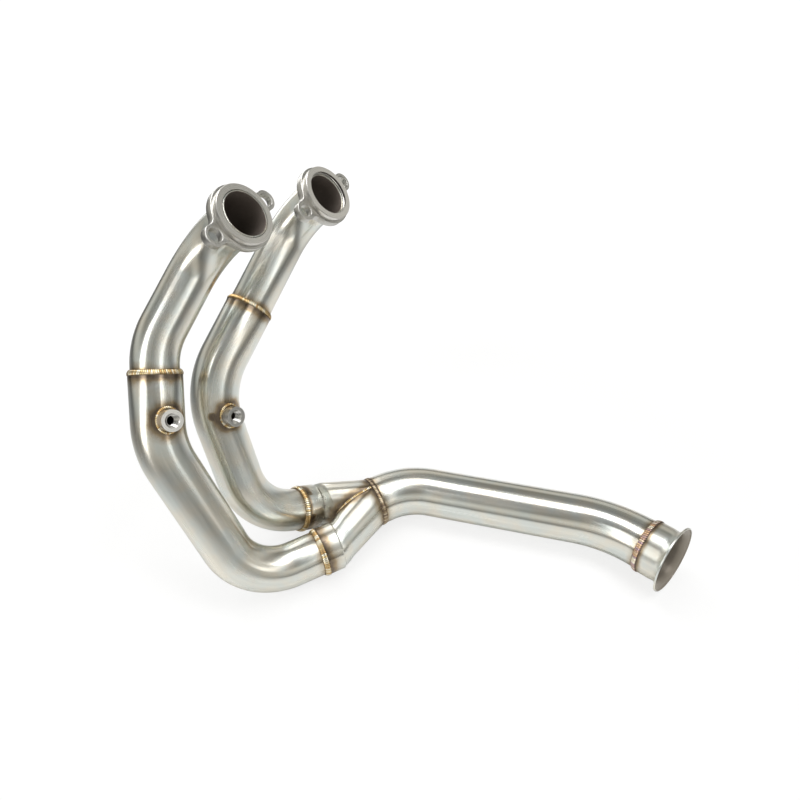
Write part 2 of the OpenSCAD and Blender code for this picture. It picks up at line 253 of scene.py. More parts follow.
def finish_with(obj, kind, **values):
    """Adds a modifier, sets its values and applies it."""
    modifier = obj.modifiers.new(kind.lower(), kind)
    for key, value in values.items():
        setattr(modifier, key, value)
    alone(obj)
    bpy.ops.object.modifier_apply(modifier=modifier.name)


def break_edges(obj, width, segments=2):
    """Bevels every edge sharper than 50 degrees."""
    finish_with(obj, "BEVEL", width=width, segments=segments, limit_method="ANGLE",
                angle_limit=math.radians(50))


def smooth(obj, degrees=35):
    alone(obj)
    bpy.ops.object.shade_smooth_by_angle(angle=math.radians(degrees))


def turned_to(way):
    """The turn that takes Z to way."""
    return way.to_track_quat("Z", "Y").to_euler()


def turned_with(first, way):
    """The turn that takes X to first and Z to way."""
    return Matrix((first, way.cross(first), way)).transposed().to_euler()


def cut(obj, tool):
    """Takes tool away from obj."""
    finish_with(obj, "BOOLEAN", object=tool, operation="DIFFERENCE", solver="EXACT")
    bpy.data.objects.remove(tool)


def cylinder(middle, way, radius, depth, vertices=48):
    return new_mesh(bpy.ops.mesh.primitive_cylinder_add, vertices=vertices, radius=radius,
                    depth=depth, location=middle, rotation=turned_to(way))


def stands_for(obj, name, node, body=header):
    """Names a new piece, joins it to its body and lets it stand for a node of the frame."""
    obj.name = name
    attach(obj, body)
    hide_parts(node)


# %% One tube, run by run and bend by bend
around = 96
bend_step = math.radians(3)


def bent_tube(name, spin_sign):
    """The open skin of a tube, extruded along each run and spun round each bend."""
    points, radii = routes[name]
    outer = tube_sizes[name][0]
    tube = new_mesh(bpy.ops.mesh.primitive_circle_add, vertices=around, radius=outer / 2 * mm,
                    location=points[0], rotation=turned_to((points[1] - points[0]).normalized()))
    start_edit()
    for step in steps_of(points, radii):
        if step[0] == "run":
            bpy.ops.mesh.extrude_edges_move(TRANSFORM_OT_translate={"value": step[1]})
        else:
            _, centre, axis, angle, radius = step
            bpy.ops.mesh.spin(steps=max(4, round(angle / bend_step)), angle=spin_sign * angle,
                              center=centre, axis=axis)
    end_edit(merge=True)
    return tube


def sign_of_spin(name):
    """1 if a trial tube ends where its route ends, and -1 if Spin turns the other way."""
    trial = bent_tube(name, 1)
    end = routes[name][0][-1]
    gap = min((v.co - end).length for v in trial.data.vertices)
    bpy.data.objects.remove(trial)
    return 1 if abs(gap - tube_sizes[name][0] / 2 * mm) < 0.2 * mm else -1


spin_sign = sign_of_spin("right_upper_tube")
print("spin turns with sign", spin_sign)

# %% Walls, cut ends and what each point knows
def nearest_on(line, places):
    """For each place the number of the line's nearest point."""
    found = []
    for chunk in np.array_split(places, max(1, len(places) // 1000)):
        found.append(((chunk[:, None, :] - line[None, :, :]) ** 2).sum(2).argmin(1))
    return np.concatenate(found)


def outward(mesh, line):
    """For each face its distance from the centre line, below zero if it faces that line."""
    middles = np.array([face.center for face in mesh.polygons])
    normals = np.array([face.normal for face in mesh.polygons])
    return ((middles - line[nearest_on(line, middles)]) * normals).sum(1)


def give_wall(obj, line, thickness):
    """Thickens an open skin toward its centre line."""
    if outward(obj.data, line).sum() < 0:
        obj.data.flip_normals()
    finish_with(obj, "SOLIDIFY", thickness=thickness, offset=-1, use_even_offset=True)


def mark_route(obj, line, ways):
    """Stores `route` and `way` for points and `inside` for faces, and returns the length."""
    along = np.concatenate([[0], np.cumsum(np.linalg.norm(np.diff(line, axis=0), axis=1))])
    sides = [np.array(Vector(ways[0]).orthogonal().normalized())]
    for way in ways[1:]:
        side = sides[-1] - way * np.dot(sides[-1], way)
        sides.append(side / np.linalg.norm(side))
    sides = np.array(sides)
    mesh = obj.data
    places = np.empty(len(mesh.vertices) * 3)
    mesh.vertices.foreach_get("co", places)
    places = places.reshape(-1, 3)
    k = nearest_on(line, places)
    gap = places - line[k]
    route = np.stack([along[k] + (gap * ways[k]).sum(1), (gap * sides[k]).sum(1),
                      (gap * np.cross(ways[k], sides[k])).sum(1)], axis=1)
    for label, values in (("route", route), ("way", ways[k])):
        layer = mesh.attributes.new(label, "FLOAT_VECTOR", "POINT")
        layer.data.foreach_set("vector", values.astype(np.float32).ravel())
    layer = mesh.attributes.new("inside", "FLOAT", "FACE")
    layer.data.foreach_set("value", (outward(mesh, line) < -2 * mm).astype(np.float32))
    return along[-1]


holes = {"left_lower_tube": "left_sensor_port", "right_lower_tube": "right_sensor_port"}
tubes, lengths = {}, {}
for name, route in routes.items():
    tube = bent_tube(name, spin_sign)
    line, ways = centre_line(*route)
    give_wall(tube, line, tube_sizes[name][1] * mm)
    if name in holes:
        port = holes[name]
        bore = mounts[port]["dims"]["r_mm"] * mm
        cut(tube, cylinder(mount_place(port), mount_way(port), bore, 24 * mm))
    break_edges(tube, 0.45 * mm)
    smooth(tube)
    lengths[name] = mark_route(tube, line, ways)
    stands_for(tube, "satin_" + name, name)
    tubes[name] = tube
    print(tube.name, "is", round(lengths[name] / mm), "mm long,", len(tube.data.polygons), "faces")

# %% [markdown]
# ## The collector's pressed halves
# The collector is the part that takes skill. Two mirror halves are pressed from sheet, each with a
# round sleeve for its tube and a leg that closes in on the other. Here a leg is a row of rings,
# joined by Bridge, thickened by Solidify and cut off at the middle plane by a Boolean.

# %% Rings of a leg, and their cut at the middle
sleeve_r, sleeve_length, half_wall = 27.1 * mm, 18 * mm, 2 * mm
leg_length = collector_length - sleeve_length
neck_r = lower_r + 0.2 * mm
meeting = 0.26  # the share of the straight cone that the curve from the sleeve takes up
pull = 16 * mm  # how firmly that curve keeps its direction at both ends
curve_rings = (0.1, 0.22, 0.36, 0.5, 0.64, 0.8, 1.0)
cone_rings = (0.4, 0.6, 0.8, 1.0)


def leg_stations(side, inlet, inlet_way):
    """(middle, direction, radius) of each ring from the sleeve's rim to the outlet."""
    sleeve_end = inlet + inlet_way * sleeve_length
    foot = outlet_middle + from_collector(side * inlet_pitch / 2, 0, -leg_length)
    stations = [(inlet + inlet_way * sleeve_length * k / 3, inlet_way, sleeve_r)
                for k in range(4)]
    joined = foot.lerp(outlet_middle, meeting)
    leaving, arriving = inlet_way * pull, (outlet_middle - foot).normalized() * pull
    for s in curve_rings:
        # A Hermite curve: it leaves along the sleeve and arrives along the cone's axis.
        middle = (sleeve_end * (2 * s ** 3 - 3 * s ** 2 + 1) + leaving * (s ** 3 - 2 * s ** 2 + s)
                  + joined * (3 * s ** 2 - 2 * s ** 3) + arriving * (s ** 3 - s ** 2))
        stations.append((middle, inlet_way.lerp(collector_way, s).normalized(),
                         neck_r + (tail_r - neck_r) * meeting * s))
    for t in cone_rings:
        stations.append((foot.lerp(outlet_middle, t), collector_way,
                         neck_r + (tail_r - neck_r) * t))
    return stations


def line_through(stations, per_gap=12):
    """The stations' middles with points in between, and the direction at each."""
    line, ways = [stations[0][0]], [stations[0][1]]
    for (a, way_a, _), (b, way_b, _) in zip(stations, stations[1:]):
        for k in range(1, per_gap + 1):
            line.append(a.lerp(b, k / per_gap))
            ways.append(way_a.lerp(way_b, k / per_gap).normalized())
    return np.array(line), np.array(ways)


def turned_level(way):
    """The turn that takes Z to way and keeps X toward the right leg, so that rings don't twist."""
    return turned_with((collector_side - way * way.dot(collector_side)).normalized(), way)


def collector_half(node, side, inlet, inlet_way):
    """One pressed half and its length along. Side is -1 on the left and 1 on the right."""
    stations = leg_stations(side, inlet, inlet_way)
    bpy.ops.object.select_all(action="DESELECT")
    for number, (middle, way, radius) in enumerate(stations):
        bpy.ops.mesh.primitive_circle_add(vertices=around, radius=radius, location=middle,
                                          rotation=turned_level(way))
        if number == 0:
            half = bpy.context.object
            settle(half)
            start_edit()
    bpy.ops.mesh.select_all(action="SELECT")
    bpy.ops.mesh.bridge_edge_loops()
    end_edit()
    line, ways = line_through(stations)
    give_wall(half, line, half_wall)
    size = 200 * mm
    cut(half, new_mesh(bpy.ops.mesh.primitive_cube_add, size=size,
                       rotation=turned_level(collector_way),
                       location=outlet_middle - collector_side * side * size / 2))
    break_edges(half, 0.3 * mm)
    smooth(half, 30)
    length = mark_route(half, line, ways)
    stands_for(half, "pressed_" + node, node)
    print(half.name, "has", len(half.data.polygons), "faces,", round(length / mm), "mm long")
    return half, length


halves = {node: collector_half(node, side, inlet, inlet_way) for node, side, inlet, inlet_way in (
    ("left_collector_half", -1, left_inlet, left_inlet_way),
    ("right_collector_half", 1, right_inlet, right_inlet_way))}

# %% [markdown]
# ## The spun flare
# The outlet's flare is spun from tube: it slips over the tail pipe, necks in and rolls out into a
# lip. A ring is extruded and resized from point to point of its profile, down the outside and back
# up the inside, until it closes on itself.

# %% A lathe, and the flare's profile
def lathe(profile, place, way):
    """Turns a closed profile of (radius, height) points round way, height 0 at place."""
    radius, height = profile[0]
    piece = new_mesh(bpy.ops.mesh.primitive_circle_add, vertices=around, radius=radius,
                     location=(0, 0, height))
    start_edit()
    for next_radius, next_height in profile[1:] + profile[:1]:
        rise = (0, 0, next_height - height)
        bpy.ops.mesh.extrude_edges_move(TRANSFORM_OT_translate={"value": rise})
        share = next_radius / radius
        bpy.ops.transform.resize(value=(share, share, 1), center_override=(0, 0, next_height))
        radius, height = next_radius, next_height
    end_edit(merge=True)
    piece.location, piece.rotation_euler = place, turned_to(way)
    settle(piece)
    return piece


flare_r, lip_r, neck_inside, lip_wall = 31.35 * mm, 39.5 * mm, 28.75 * mm, 2 * mm
roll_from, roll_to = 9 * mm, 1.6 * mm


def roll(thickness, parts=6):
    """Points of the curve from the neck out to the lip, as a quarter of an ellipse."""
    wide, deep = lip_r - neck_inside - lip_wall, roll_from - roll_to
    turns = [math.pi / 2 * k / parts for k in range(parts + 1)]
    return [(neck_inside + thickness + wide * (1 - math.cos(a)), -roll_from + deep * math.sin(a))
            for a in turns]


def flare_profile():
    """(radius, height) along the outside, over the lip and back along the inside."""
    sleeve = [(flare_r, -flare_length), (flare_r, -13.5 * mm), (flare_r - 0.3 * mm, -11.5 * mm)]
    rim = [(lip_r, -1.2 * mm), (lip_r, -0.5 * mm), (lip_r - 0.5 * mm, 0), (lip_r - 1.2 * mm, 0)]
    throat = [(r, z + 0.6 * mm) for r, z in reversed(roll(0))]
    stop, socket_r = flare_depth - flare_length, tail_r + 0.1 * mm
    socket = [(neck_inside, stop), (socket_r, stop), (socket_r, -flare_length)]
    return sleeve + roll(lip_wall) + rim + throat + socket


flare = lathe(flare_profile(), lip_middle, outlet_way)
smooth(flare, 40)
flare_ends = [(lip_middle - outlet_way * flare_length, outlet_way, flare_r),
              (lip_middle, outlet_way, lip_r)]
mark_route(flare, *line_through(flare_ends, round(flare_length / mm)))
stands_for(flare, "spun_outlet_flare", "outlet_flare")
print(flare.name, "has", len(flare.data.polygons), "faces")

# %% Collars, with the thin groove round the tube's end
def collar(side, mouth):
    """A turned ring that meets its tube behind a groove, and whose face is flush with the mouth."""
    outer, deep, edge = 29 * mm, 8 * mm, 0.5 * mm
    groove_r, groove_deep = upper_r + 0.6 * mm, 2.5 * mm
    profile = [(upper_r, -deep), (outer - 2 * edge, -deep), (outer, -deep + 2 * edge),
               (outer, -edge), (outer - edge, 0), (groove_r, 0), (groove_r, -groove_deep),
               (upper_r, -groove_deep - edge)]
    ring = lathe(profile, mouth, mouth_way)
    smooth(ring, 30)
    stands_for(ring, side + "_turned_collar", side + "_collar")
    return ring


mouths = {"left": left_mouth, "right": right_mouth}
collars = {side: collar(side, mouth) for side, mouth in mouths.items()}
print("collars:", [ring.name for ring in collars.values()])

# %% [markdown]
# ## The flange plates
# Each plate is a slim disc with two small ears, and hollow curves run from disc to ear. A circle's
# points are placed along that outline, filled and extruded. The bore and stud holes are cut out.
# The plates are loose and turn round their tubes, so each rides on its own body.

# %% Outline of a plate
disc_r, ear_r, hollow_r = 31.2 * mm, 10 * mm, 9 * mm
studs = mounts["left_head_studs"]["dims"]
ear_at = studs["pcd_mm"] / 2 * mm


def plate_outline(count):
    """Points round the plate: a quarter of it first, then mirrored."""
    x = (ear_at ** 2 + (disc_r + hollow_r) ** 2 - (ear_r + hollow_r) ** 2) / (2 * ear_at)
    y = math.sqrt((disc_r + hollow_r) ** 2 - x ** 2)
    ear_end, disc_start = math.atan2(y, x - ear_at), math.atan2(y, x)
    quarter = []
    arcs = ((ear_at, 0, ear_r, 0, ear_end),
            (x, y, hollow_r, ear_end - math.pi, disc_start - math.pi),
            (0, 0, disc_r, disc_start, math.pi / 2))
    for middle_x, middle_y, radius, start, end in arcs:
        for k in range(count):
            a = start + (end - start) * k / count
            quarter.append((middle_x + radius * math.cos(a), middle_y + radius * math.sin(a)))
    top = quarter + [(0, disc_r)] + [(-x, y) for x, y in reversed(quarter)]
    return top + [(x, -y) for x, y in reversed(top[1:-1])]


def flange_plate(side):
    thickness, ear_turn, play = 8 * mm, math.radians(6), 0.3 * mm
    outline = plate_outline(12)
    plate = new_mesh(bpy.ops.mesh.primitive_circle_add, vertices=len(outline), radius=1,
                     fill_type="NGON")
    for vertex, (x, y) in zip(plate.data.vertices, outline):
        vertex.co = (x, y, -thickness / 2)
    start_edit()
    bpy.ops.mesh.extrude_region_move(TRANSFORM_OT_translate={"value": (0, 0, thickness)})
    end_edit()
    cut(plate, cylinder((0, 0, 0), up, upper_r + play, 2 * thickness, around))
    for end in (-1, 1):
        cut(plate, cylinder((end * ear_at, 0, 0), up, studs["hole_r_mm"] * mm, 2 * thickness))
    break_edges(plate, 0.7 * mm, segments=3)
    level = Vector((0, 1, 0))
    ear_way = math.cos(ear_turn) * level + math.sin(ear_turn) * mouth_way.cross(level)
    plate.rotation_euler = turned_with(ear_way, mouth_way)
    # Centred on the mount, this plate lies half its thickness ahead of the solid one.
    plate.location = mount_place(side + "_head_studs")
    settle(plate)
    smooth(plate, 30)
    stands_for(plate, side + "_eared_plate", side + "_flange_plate", side + "_plate")
    print(plate.name, "has", len(plate.data.polygons), "faces")
    return plate


plates = {side: flange_plate(side) for side in both}

# %% [markdown]
# ## Weld beads made of ripples
# A TIG bead is a row of small frozen pools, each laid half over the one before, like fallen coins.
# A bump map would vanish at the outline, so one pool is modelled once, as a squashed ball, and
# copied along the joint. Each weld's pools are joined into one piece that stands for the plain
# bead. An attribute, `pool`, holds how high a point lies on its pool, and the pool's own tone.

# %% One pool of weld metal
def weld_pool(half_step, half_width, height):
    """A squashed ball that leans back. Its `pool` holds each point's height, from -1 to 1."""
    lean_back = math.radians(-18)
    pool = new_mesh(bpy.ops.mesh.primitive_uv_sphere_add, segments=10, ring_count=6, radius=1)
    layer = pool.data.attributes.new("pool", "FLOAT_VECTOR", "POINT")
    for value, vertex in zip(layer.data, pool.data.vertices):
        value.vector = (vertex.co.z, 0, 0)
    pool.scale = (half_step, half_width, height)
    pool.rotation_euler = (0, lean_back, 0)
    settle(pool)
    return pool


def weld(node, spots, pool_mm):
    """Copies a pool to every spot (place, direction along, direction out) and joins the copies."""
    pool = weld_pool(*(size * mm for size in pool_mm))
    copies = []
    for place, run, out in spots:
        across = out.cross(run).normalized()
        run = across.cross(out).normalized()
        copy = pool.copy()
        copy.data = pool.data.copy()
        tone = random.random()
        for value in copy.data.attributes["pool"].data:
            value.vector[1] = tone
        stand = Matrix((run, across, out)).transposed().to_4x4()
        copy.data.transform(Matrix.Translation(place) @ stand)
        bpy.context.collection.objects.link(copy)
        copies.append(copy)
    bpy.data.objects.remove(pool)
    alone(copies[0])
    for copy in copies:
        copy.select_set(True)
    bpy.ops.object.join()
    bead = bpy.context.object
    smooth(bead, 80)
    stands_for(bead, node.replace("_weld", "_ripples"), node)
    print(bead.name, "has", len(copies), "pools")
    return bead


# %% Spots round a tube
def round_way(way, radius, step):
    """The directions out and onward at points about step apart on a circle round way."""
    first = way.orthogonal().normalized()
    second = way.cross(first)
    count = round(2 * math.pi * radius / step)
    for a in (2 * math.pi * k / count for k in range(count)):
        yield (math.cos(a) * first + math.sin(a) * second,
               math.cos(a) * second - math.sin(a) * first)


def ring_spots(middle, way, radius, lean=0, step=2 * mm):
    """Spots on a circle round way. Lean tips the bead's outward direction back along the tube."""
    return [(middle + out * radius, run, math.cos(lean) * out - math.sin(lean) * way)
            for out, run in round_way(way, radius, step)]


def fillet_spots(rim, way, small, big, step, length=6 * mm):
    """Spots on the face of a fillet between a tube and the rim of the sleeve it goes into."""
    lean = math.atan2(big - small, length)
    middle, radius = rim - way * length * 0.42, small + (big - small) * 0.55
    return ring_spots(middle, way, radius, lean, step)


# Half a pool's step and width, and its height, in millimetres.
joint_pool, inlet_pool, flare_pool = (1.7, 3.2, 1.3), (2.0, 3.7, 1.4), (2.1, 3.9, 1.4)
outlet_pool, boss_pool, seam_pool = (1.9, 3.4, 1.0), (1.6, 2.0, 1.5), (1.7, 2.2, 1.5)
sleeved = (  # node, rim of the sleeve, direction, tube's radius, sleeve's radius, step, pool
    ("left_joint_weld", left_joint, left_fall, upper_r, lower_r, 1.9 * mm, joint_pool),
    ("right_joint_weld", right_joint, right_fall, upper_r, lower_r, 1.9 * mm, joint_pool),
    ("left_inlet_weld", left_inlet, left_inlet_way, lower_r, sleeve_r, 2.3 * mm, inlet_pool),
    ("right_inlet_weld", right_inlet, right_inlet_way, lower_r, sleeve_r, 2.3 * mm, inlet_pool),
    ("flare_weld", lip_middle - outlet_way * flare_length, outlet_way, tail_r, flare_r, 2.5 * mm,
     flare_pool))
weld_pieces = [weld(node, fillet_spots(*fillet), pool) for node, *fillet, pool in sleeved]
weld_pieces.append(weld("collector_outlet_weld",
                        ring_spots(outlet_middle + collector_way * 1.6 * mm, collector_way,
                                   tail_r + 0.1 * mm, step=2.2 * mm), outlet_pool))

# %% Spots round a sensor boss and along the collector's seam
boss_r = 10.5 * mm


def boss_spots(mount, name, radius=boss_r + 1.6 * mm, step=1.9 * mm):
    """Spots where a ring round the boss meets the tube's skin."""
    line, _ = centre_line(*routes[name])
    places = []
    for out, _ in round_way(mount_way(mount), radius, step):
        flat = mount_place(mount) + out * radius
        near = Vector(line[int(((line - np.array(flat)) ** 2).sum(1).argmin())])
        skin = (flat - near).normalized()
        places.append((near + skin * (lower_r + 0.3 * mm), skin + out))
    return [(place, places[(k + 1) % len(places)][0] - places[k - 1][0], out.normalized())
            for k, (place, out) in enumerate(places)]


def seam_spots(step=1.7 * mm):
    """Spots along the meeting line of the collector's two halves, over its top and under it."""
    closing, widening = inlet_pitch / 2 / leg_length, (tail_r - neck_r) / leg_length

    def seam(a):
        x = math.cos(a) * tail_r / (closing + widening * math.cos(a))
        return outlet_middle + from_collector(0, (tail_r - widening * x) * math.sin(a), -x)

    spots, last = [], None
    for tenths in range(-870, 871):  # tenths of a degree from the middle
        a = math.radians(tenths / 10)
        place = seam(a)
        if last is None or (place - last).length >= step:
            run = (seam(a + 0.01) - seam(a - 0.01)).normalized()
            spots.append((place, run, run.cross(collector_side).normalized()))
            last = place
    return spots


for side in both:
    spots = boss_spots(side + "_sensor_port", side + "_lower_tube")
    weld_pieces.append(weld(side + "_boss_weld", spots, boss_pool))
weld_pieces.append(weld("merge_seam_weld", seam_spots(), seam_pool))

# %% [markdown]
# ## Threads in the bosses
# An oxygen sensor screws into each boss, so its bore is full of fine thread. A thread is a small
# ridge on a helix: one triangle, run round the axis by Screw, and closed at both ends.

# %% One internal thread, copied to both bosses
def thread(name, mount, pitch=1.25 * mm, turns=7):
    bore, ridge_r = mounts[mount]["dims"]["r_mm"] * mm, 0.62 * pitch
    proud = 1.2  # turns by which the thread's middle lies out from the mount's place
    ridge = new_mesh(bpy.ops.mesh.primitive_circle_add, vertices=3, radius=ridge_r,
                     fill_type="NGON", rotation=(math.pi / 2, -math.pi / 2, 0),
                     location=(bore, 0, 0))
    finish_with(ridge, "SCREW", angle=2 * math.pi, screw_offset=pitch, iterations=turns, steps=40,
                render_steps=40, axis="Z", use_merge_vertices=False)
    start_edit()
    bpy.ops.mesh.fill_holes(sides=4)
    end_edit()
    ridge.name = name
    ridge.location = mount_place(mount) - mount_way(mount) * pitch * (turns / 2 - proud)
    ridge.rotation_euler = turned_to(mount_way(mount))
    settle(ridge)
    smooth(ridge, 25)
    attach(ridge, header)
    print(name, "has", len(ridge.data.polygons), "faces")
    return ridge


threads = {side: thread(side + "_sensor_thread", side + "_sensor_port") for side in both}

# %% [markdown]
# ## Finishes
# All of it is one metal, so the finishes differ in three ways: how it was worked (satin tube,
# turned collar), how hot it got (straw, brown and purple beside a weld, fading out over a finger's
# width), and whether it is a pipe's inner wall, which gets painted shade. Each of the first two is
# a small node group with plain inputs, and each material places the groups with its own values.

# %% Node helpers
def new_group(name, inputs, outputs):
    """An empty node group with sockets, given as {name: kind}."""
    tree = bpy.data.node_groups.new(name, "ShaderNodeTree")
    for in_out, sockets in (("INPUT", inputs), ("OUTPUT", outputs)):
        for label, kind in sockets.items():
            tree.interface.new_socket(label, in_out=in_out, socket_type="NodeSocket" + kind)
    return tree, tree.nodes.new("NodeGroupInput"), tree.nodes.new("NodeGroupOutput")


def add(tree, kind, **settings):
    """A node with its properties set, and its inputs by number as i0, i1 and so on."""
    node = tree.nodes.new("ShaderNode" + kind)
    for key, value in settings.items():
        if key[0] == "i" and key[1:].isdigit():
            if hasattr(value, "is_output"):
                tree.links.new(value, node.inputs[int(key[1:])])
            else:
                node.inputs[int(key[1:])].default_value = value
        else:
            setattr(node, key, value)
    return node


def maths(tree, operation, a, b=0.0, c=0.0):
    return add(tree, "Math", operation=operation, i0=a, i1=b, i2=c).outputs[0]


def vectors(tree, operation, a, b=(0, 0, 0)):
    """A vector operation. Lengths, distances and dot products give a number."""
    node = add(tree, "VectorMath", operation=operation, i0=a, i1=b)
    return node.outputs["Value" if operation in ("LENGTH", "DISTANCE", "DOT_PRODUCT") else "Vector"]


def noise(tree, point, scale, detail):
    return add(tree, "TexNoise", noise_dimensions="3D", i0=point, i2=scale, i3=detail).outputs[0]


def remap(tree, value, start, end, to_start=0.0, to_end=1.0):
    """Turns the range from start to end into the second one, and stops at its ends."""
    return add(tree, "MapRange", clamp=True, i0=value, i1=start, i2=end,
               i3=to_start, i4=to_end).outputs[0]


def grey(tree, value):
    return add(tree, "CombineColor", i0=value, i1=value, i2=value).outputs[0]


def ramp(tree, factor, stops):
    """A colour ramp: stops are (place, (r, g, b))."""
    node = add(tree, "ValToRGB", i0=factor)
    elements = node.color_ramp.elements
    while len(elements) < len(stops):
        elements.new(0.5)
    for element, (place, colour) in zip(elements, stops):
        element.position = place
        element.color = (*colour, 1)
    return node.outputs[0]


def mix(tree, factor, a, b, blend="MIX"):
    node = add(tree, "Mix", data_type="RGBA", blend_type=blend, i0=factor, i6=a, i7=b)
    return node.outputs[2]


# %% Group: how far a point is from the plane of a weld
tree, inp, out = new_group("weld_distance", {"Point": "Vector", "Centre": "Vector",
                                             "Axis": "Vector"}, {"Distance": "Float"})
gap = vectors(tree, "SUBTRACT", inp.outputs["Point"], inp.outputs["Centre"])
height = vectors(tree, "DOT_PRODUCT", gap, inp.outputs["Axis"])
tree.links.new(maths(tree, "ABSOLUTE", height), out.inputs["Distance"])
weld_distance = tree

# %% Group: heat tint over a distance, with a wavering edge
scale_brown, straw, pale_straw = (0.16, 0.11, 0.07), (0.40, 0.30, 0.18), (0.55, 0.49, 0.39)
bare_steel = (0.70, 0.68, 0.63)
tree, inp, out = new_group("heat_tint", {"Distance": "Float", "Reach": "Float", "Point": "Vector",
                                         "Steel": "Color"}, {"Color": "Color"})
waver = maths(tree, "SUBTRACT", noise(tree, inp.outputs["Point"], 90.0, 2.0), 0.5)
share = maths(tree, "DIVIDE", inp.outputs["Distance"], inp.outputs["Reach"])
share = maths(tree, "ADD", share, maths(tree, "MULTIPLY", waver, 0.7))
tint = ramp(tree, share, [(0.16, scale_brown), (0.42, straw), (0.72, pale_straw),
                          (1.0, bare_steel)])
heat = remap(tree, share, 0.4, 1.0, 0.92, 0.0)
tree.links.new(mix(tree, heat, inp.outputs["Steel"], tint), out.inputs["Color"])
heat_tint = tree

# %% Group: satin metal with long soft draw marks
tree, inp, out = new_group("satin", {"Route": "Vector", "Steel": "Color"},
                           {"Color": "Color", "Roughness": "Float"})
drawn = vectors(tree, "MULTIPLY", inp.outputs["Route"], (0.05, 1.0, 1.0))
marks = noise(tree, drawn, 160.0, 3.0)
cloud = noise(tree, inp.outputs["Route"], 40.0, 3.0)
tone = maths(tree, "MULTIPLY", remap(tree, marks, 0.3, 0.7, 0.9, 1.06),
             remap(tree, cloud, 0.3, 0.7, 0.97, 1.02))
cast = ramp(tree, cloud, [(0.38, (0.95, 1.0, 1.0)), (0.62, (1.0, 0.97, 0.90))])
shade = mix(tree, 1.0, grey(tree, tone), cast, "MULTIPLY")
tree.links.new(mix(tree, 1.0, inp.outputs["Steel"], shade, "MULTIPLY"), out.inputs["Color"])
tree.links.new(remap(tree, marks, 0.3, 0.7, 0.22, 0.29), out.inputs["Roughness"])
satin = tree

# %% Group: rings left by a lathe tool round an axis
tree, inp, out = new_group("turned", {"Point": "Vector", "Centre": "Vector", "Axis": "Vector"},
                           {"Roughness": "Float", "Height": "Float"})
gap = vectors(tree, "SUBTRACT", inp.outputs["Point"], inp.outputs["Centre"])
radius = vectors(tree, "LENGTH", vectors(tree, "CROSS_PRODUCT", gap, inp.outputs["Axis"]))
depth = vectors(tree, "DOT_PRODUCT", gap, inp.outputs["Axis"])
rings = noise(tree, add(tree, "CombineXYZ", i0=radius, i1=depth).outputs[0], 3000.0, 1.0)
tree.links.new(remap(tree, rings, 0.3, 0.7, 0.22, 0.36), out.inputs["Roughness"])
tree.links.new(rings, out.inputs["Height"])
turned = tree
print("groups:", [g.name for g in (weld_distance, heat_tint, satin, turned)])

# %% [markdown]
# ## Materials
# A material holds one metal shader and feeds it from the groups. The tubes' materials know the
# distance along the route of every weld on them. Inside, a pipe's wall is painted a dull dark brown
# as painted shade.

# %% A metal shader with its inputs at hand
steel = (0.81, 0.80, 0.765, 1)
# A dull dark brown for inner walls: painted shade inside the pipes.
painted_inner_shade = (0.17, 0.14, 0.12, 1)


def metal(name, roughness=0.3, anisotropy=0.0):
    material = bpy.data.materials.new(name)
    material.use_nodes = True
    shader = material.node_tree.nodes["Principled BSDF"]
    shader.inputs["Metallic"].default_value = 1.0
    shader.inputs["Roughness"].default_value = roughness
    shader.inputs["Base Color"].default_value = steel
    shader.inputs["Anisotropic"].default_value = anisotropy
    return material, material.node_tree, shader


def use_group(tree, group, **values):
    node = tree.nodes.new("ShaderNodeGroup")
    node.node_tree = group
    for key, value in values.items():
        if hasattr(value, "is_output"):
            tree.links.new(value, node.inputs[key])
        else:
            node.inputs[key].default_value = value
    return node


def bump(tree, shader, height, distance):
    node = add(tree, "Bump", i0=0.2, i1=distance)
    tree.links.new(height, node.inputs["Height"])
    tree.links.new(node.outputs[0], shader.inputs["Normal"])


def object_point(tree):
    return tree.nodes.new("ShaderNodeTexCoord").outputs["Object"]


def nearest(tree, distances):
    value = distances[0]
    for other in distances[1:]:
        value = maths(tree, "MINIMUM", value, other)
    return value


# %% Satin tube, tinted at its welds, rougher inside and with painted shade on its inner wall
def tube_material(name, welds, bosses=(), planes=(), reach=13 * mm, inner=painted_inner_shade, dullness=1.0):
    """Tint at welds (distance along), bosses (middle, radius, fading) and planes (centre, axis)."""
    material, tree, shader = metal(name, anisotropy=0.75)
    point = object_point(tree)
    route, way = (add(tree, "Attribute", attribute_name=label).outputs["Vector"]
                  for label in ("route", "way"))
    inside = add(tree, "Attribute", attribute_name="inside").outputs["Fac"]
    tree.links.new(way, shader.inputs["Tangent"])
    along = add(tree, "SeparateXYZ", i0=route).outputs[0]
    distances = [maths(tree, "ABSOLUTE", maths(tree, "SUBTRACT", along, place)) for place in welds]
    for middle, radius, fading in bosses:
        gap = maths(tree, "SUBTRACT", vectors(tree, "DISTANCE", point, middle), radius)
        distances.append(maths(tree, "MULTIPLY", maths(tree, "MAXIMUM", gap, 0.0), fading))
    for centre, axis in planes:
        plane = use_group(tree, weld_distance, Point=point, Centre=centre, Axis=axis)
        distances.append(plane.outputs["Distance"])
    brushed = use_group(tree, satin, Route=route, Steel=steel)
    tinted = use_group(tree, heat_tint, Distance=nearest(tree, distances), Reach=reach, Point=point,
                       Steel=brushed.outputs["Color"])
    rough = maths(tree, "MULTIPLY", brushed.outputs["Roughness"], dullness)
    rough = maths(tree, "MAXIMUM", rough, maths(tree, "MULTIPLY", inside, 0.5))
    shine = maths(tree, "SUBTRACT", 1.0, maths(tree, "MULTIPLY", inside, 0.6))
    # Faces with `inside` take the inner colour: painted shade on the pipe's inner wall.
    tree.links.new(mix(tree, inside, tinted.outputs["Color"], inner), shader.inputs["Base Color"])
    tree.links.new(rough, shader.inputs["Roughness"])
    tree.links.new(shine, shader.inputs["Metallic"])
    return material


def dress_piece(piece, material):
    piece.data.materials.clear()
    piece.data.materials.append(material)


